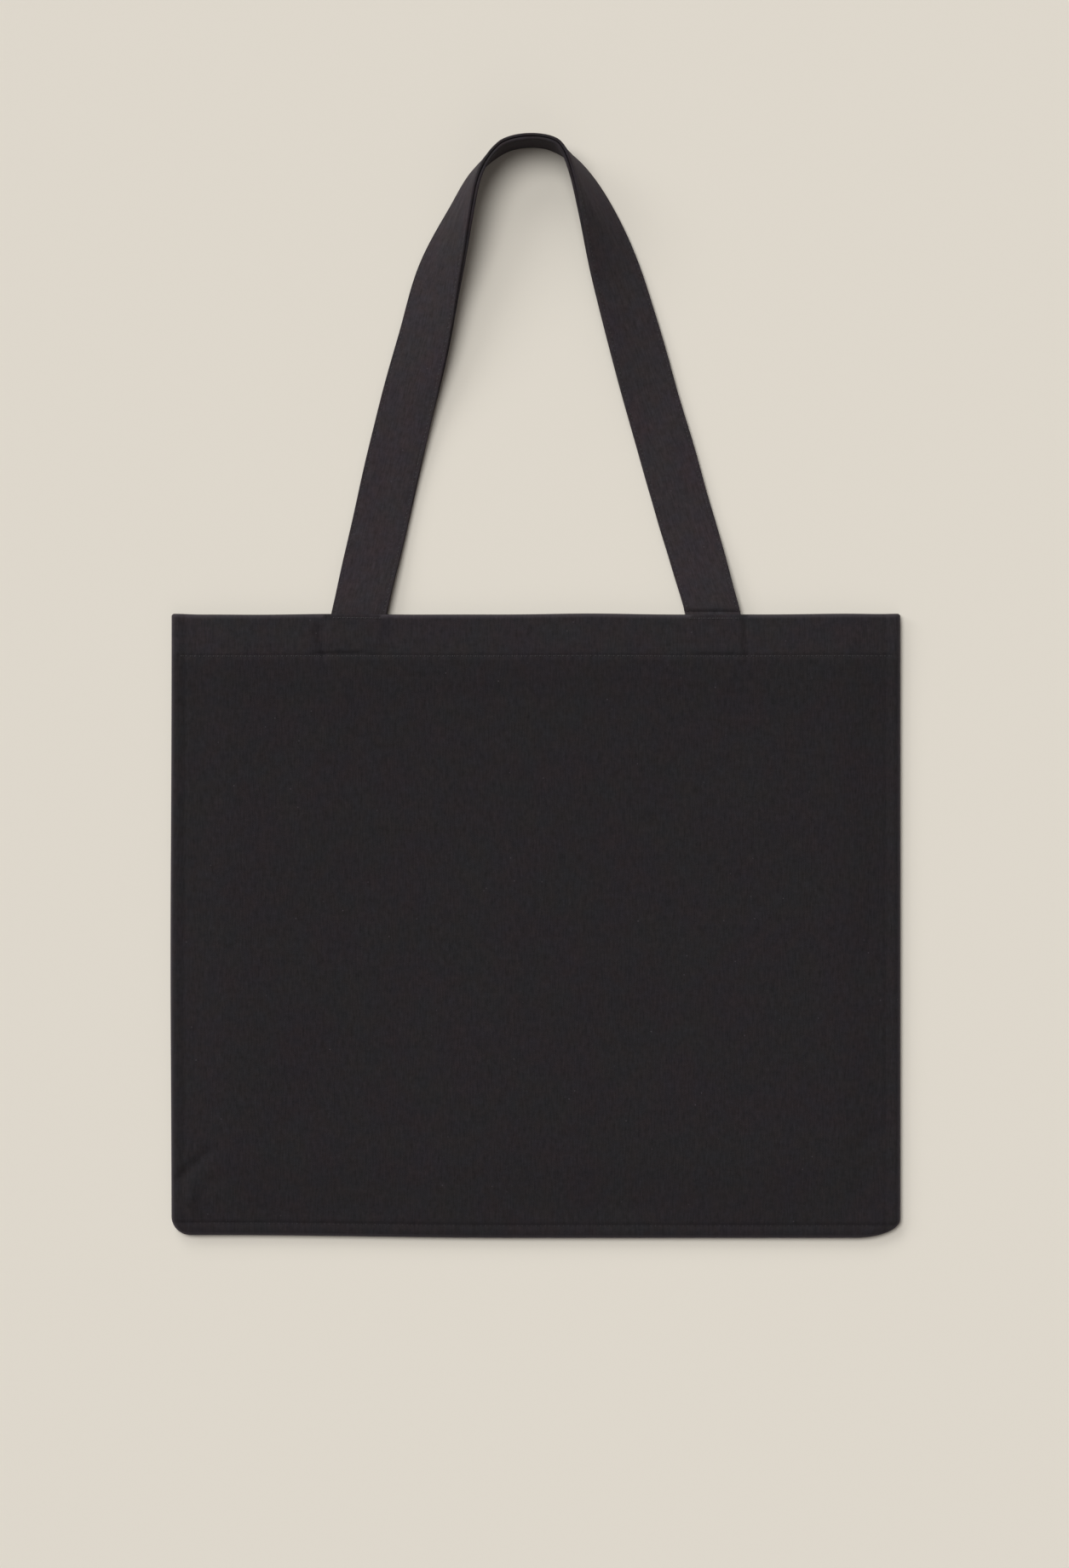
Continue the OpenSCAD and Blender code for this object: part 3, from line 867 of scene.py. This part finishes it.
def seam_strip(name, cad_node, seed):
    """Two raw edges of canvas, trimmed together and turned inside the bag."""
    low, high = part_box(cad_node)
    low.x, high.x = max(low.x, ALLOWANCE_EDGE - HALF_W), min(high.x, HALF_W - ALLOWANCE_EDGE)
    low.y = max(low.y, ALLOWANCE_EDGE - HALF_H)
    long_x = high.x - low.x > high.y - low.y
    top = low.z + 2 * CLOTH
    across = stations((low.x, high.x, 3 * MM if long_x else 1.1 * MM))
    along = stations((low.y, high.y, 1.1 * MM if long_x else 3 * MM))
    strip = flat_cloth(name, across, along)
    co = points(strip)
    x, y = co[:, 0], co[:, 1]
    z = top + 0.08 * MM * ripple(x, y, 18 * MM, seed + 1)
    if long_x:
        frayed = 0.25 * MM * ripple(x, (y - low.y) * 3, 12 * MM, seed)
        y = y + frayed * smooth((y - low.y) / (6 * MM))
    else:
        x = x + 0.125 * MM * ripple(y, (high.x - x) * 3, 12 * MM, seed)
    move_points(strip, np.stack([x, y, z], 1))
    apply(strip, "SOLIDIFY", "layers", thickness=2 * CLOTH - 0.1 * MM, offset=-1)
    apply(strip, "BEVEL", "worn_edges", width=0.25 * MM, segments=2, limit_method="ANGLE",
          angle_limit=math.radians(60))
    soften(strip)
    return strip


def overlock(start, end, inwards, z, reach=3.6 * MM, pitch=2.4 * MM):
    """Short slanted threads that bind a raw edge, and a line of stitches behind them."""
    start, end = np.array(start, float), np.array(end, float)
    length = np.linalg.norm(end - start)
    ahead = (end - start) / length
    count = int(length / pitch)
    shares = (np.arange(count) + 0.5) * pitch
    rows = []
    for k, lean in enumerate((0.35, -0.35)):
        place = start + ahead * shares[:, None] - np.array(inwards) * reach * 0.32
        place = np.column_stack([place, np.full(count, z)])
        direction = np.array([*(np.array(inwards) + ahead * lean), 0])
        rows.append((place + [0, 0, 0.12 * MM * k], np.tile(direction, (count, 1)),
                     np.tile([0, 0, 1.0], (count, 1))))
    line = start + ahead * shares[:, None] - np.array(inwards) * reach
    rows.append((np.column_stack([line, np.full(count, z)]),
                 np.tile([*ahead, 0.0], (count, 1)), np.tile([0, 0, 1.0], (count, 1))))
    return rows


# ---------------------------------------------------------------- giving the pieces their materials

def dress(obj, material, slot, *nodes):
    """Gives a piece its material, unless it has one already, and hides the nodes that it stands
    for. The slot is not used.
    """
    if not obj.data.materials:
        obj.data.materials.append(material)
    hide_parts(*nodes)


def bend_from_sides(obj):
    """Bakes the piece's transform into its points, and works out for each point a share from 0 at
    the side seams to 1 in the middle, which nothing uses."""
    seam, reach = HALF_W - 4 * MM, 90 * MM
    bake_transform(obj)
    share = smooth((seam - np.abs(points(obj)[:, 0])) / reach)


def bend_at_mouth(obj):
    """Bakes the piece's transform into its points."""
    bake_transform(obj)


# ---------------------------------------------------------------- the bag's pieces

def make_panels():
    front_canvas, cut = sewn_panel("front_canvas", front_height, 1)
    dress(front_canvas, panel_canvas, "canvas", "front_panel", "front_hem")
    bend_from_sides(front_canvas)
    back_canvas = sewn_panel("back_canvas", back_height, -1)[0]
    dress(back_canvas, panel_canvas, "canvas", "back_panel", "back_hem")
    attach(back_canvas, "bag")


def make_seam_allowances():
    for place, seed in (("left_side_seam", 41), ("right_side_seam", 43), ("bottom_seam", 45)):
        strip = seam_strip(place + "_allowance", place, seed)
        dress(strip, panel_canvas, "canvas", place)
        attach(strip, "bag")


def make_straps():
    """Each strap has two rows of stitches, which show on both of its faces."""
    for label, seed in (("front", 51), ("back", 61)):
        is_front = label == "front"
        strap, frames, length = sewn_strap(f"{label}_strap", is_front, seed)
        dress(strap, strap_canvas, "strap_canvas", f"{label}_handle",
              f"{label}_handle_tail_left", f"{label}_handle_tail_right")
        bend_at_mouth(strap)
        rows = [row_along(frames, side * (STRAP_W / 2 - EDGE_ROW), f * STRAP_T / 2, seed)
                for side in (-1, 1) for f in (-1, 1)]
        edge_stitches = sew(f"{label}_strap_stitches", rows, seed)
        dress(edge_stitches, thread, "thread", f"{label}_handle_stitching")
        bend_at_mouth(edge_stitches)


def make_hem_stitches():
    """A row along each hem, and its other side on the hem's inner face, which is narrower."""
    thick = 2 * LIP_R
    y, inner_y = HEM_Y + HEM_ROW, HEM_Y + HEM_ROW + 1.4 * MM
    end, inner_end = HALF_W - 5 * MM, HALF_W - 11 * MM
    front_hem_stitches = sew("front_hem_stitches", [
        row_on(front_top, (-end, y), (end, y)),
        row_on(lambda x, y: front_top(x, y) - thick, (-inner_end, inner_y),
               (inner_end, inner_y), -1)], 71)
    dress(front_hem_stitches, thread, "thread", "front_hem_stitching")
    bend_from_sides(front_hem_stitches)
    back_hem_stitches = sew("back_hem_stitches", [
        row_on(back_under, (-end, y), (end, y), -1, lift=-0.12 * MM),
        row_on(lambda x, y: 0 * x + thick, (-inner_end, inner_y), (inner_end, inner_y))], 72)
    dress(back_hem_stitches, thread, "thread", "back_hem_stitching")
    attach(back_hem_stitches, "bag")


def make_bottom_stitches():
    """One row of thread that joins both panels: one piece on the front panel's face and one on
    the back panel's underside."""
    y = BOTTOM_ROW - HALF_H
    end = HALF_W - 14 * MM
    bottom_stitches = sew("bottom_stitches", [
        row_on(front_top, (-end, y), (end, y), lift=-0.2 * MM)], 73)
    dress(bottom_stitches, thread, "thread", "bottom_stitching")
    bend_from_sides(bottom_stitches)
    under_stitches = sew("bottom_stitches_under", [
        row_on(back_under, (-end, y), (end, y), -1, lift=-0.12 * MM)], 74)
    dress(under_stitches, thread, "thread")
    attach(under_stitches, "bag")


def tack_rows(surface, sense, heights, lift=0.1 * MM):
    """Short rows across the ends of one strap, at each of the heights."""
    rows = []
    for side in (-1, 1):
        for y in heights:
            middle = tail_middle(side, y)
            half = STRAP_W / 2 - 1 * MM
            rows.append(row_on(surface, (middle - half, y), (middle + half, y), sense, lift))
    return rows


def make_tacks():
    """Two rows hold each end of a strap. The upper one shows on the outside of the hem."""
    upper, lower = MOUTH_Y - TACK_ROW, TAIL_END_Y + TACK_ROW
    front_tacks = sew("front_tack_stitches", tack_rows(front_top, 1, [upper]) + tack_rows(
        lambda x, y: 0 * x + tail_low.z, -1, [upper, lower]), 75)
    dress(front_tacks, thread, "thread", "front_tack_stitching")
    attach(front_tacks, "front")
    back_tail_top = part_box("back_handle_tail_left")[1].z
    back_tacks = sew("back_tack_stitches", tack_rows(
        back_under, -1, [upper], -0.05 * MM) + tack_rows(
        lambda x, y: 0 * x + back_tail_top, 1, [upper, lower]), 76)
    dress(back_tacks, thread, "thread", "back_tack_stitching")
    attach(back_tacks, "bag")


def make_seam_stitches():
    """The raw edges of the seam allowances are bound with thread."""
    lift = 2 * CLOTH + 0.05 * MM
    for label, side in (("left", -1), ("right", 1)):
        low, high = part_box(f"{label}_side_seam")
        inner = low.x if side > 0 else high.x
        rows = overlock((inner, low.y), (inner, high.y), (-side, 0), low.z + lift)
        bound = sew(f"{label}_side_stitches", rows, 80 + side)
        dress(bound, thread, "thread", f"{label}_side_stitching")
        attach(bound, "bag")
    low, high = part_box("bottom_seam")
    rows = overlock((low.x, high.y), (high.x, high.y), (0, 1), low.z + lift)
    bound = sew("bottom_seam_stitches", rows, 84)
    dress(bound, thread, "thread")
    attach(bound, "bag")


# ---------------------------------------------------------------- the scene

stage_camera()
stage_light()
stage_floor()

# The panel canvas is painted 1.3 times lighter on the hem above its row, as a painted sheen
panel_canvas = canvas("black_cotton_canvas", "#171516", "#272426", hem_sheen=1.3)
strap_canvas = canvas("black_canvas_strap", "#242021", "#373235", sheen=0.08)
thread = sewing_thread("black_polyester_thread", "#272426")
# Painted shade: near-black for the shadowed dimple at each stitch
stitch_shade = painted_shade("stitch_shade", "#060606")

make_panels()
make_seam_allowances()
make_straps()
make_hem_stitches()
make_bottom_stitches()
make_tacks()
make_seam_stitches()
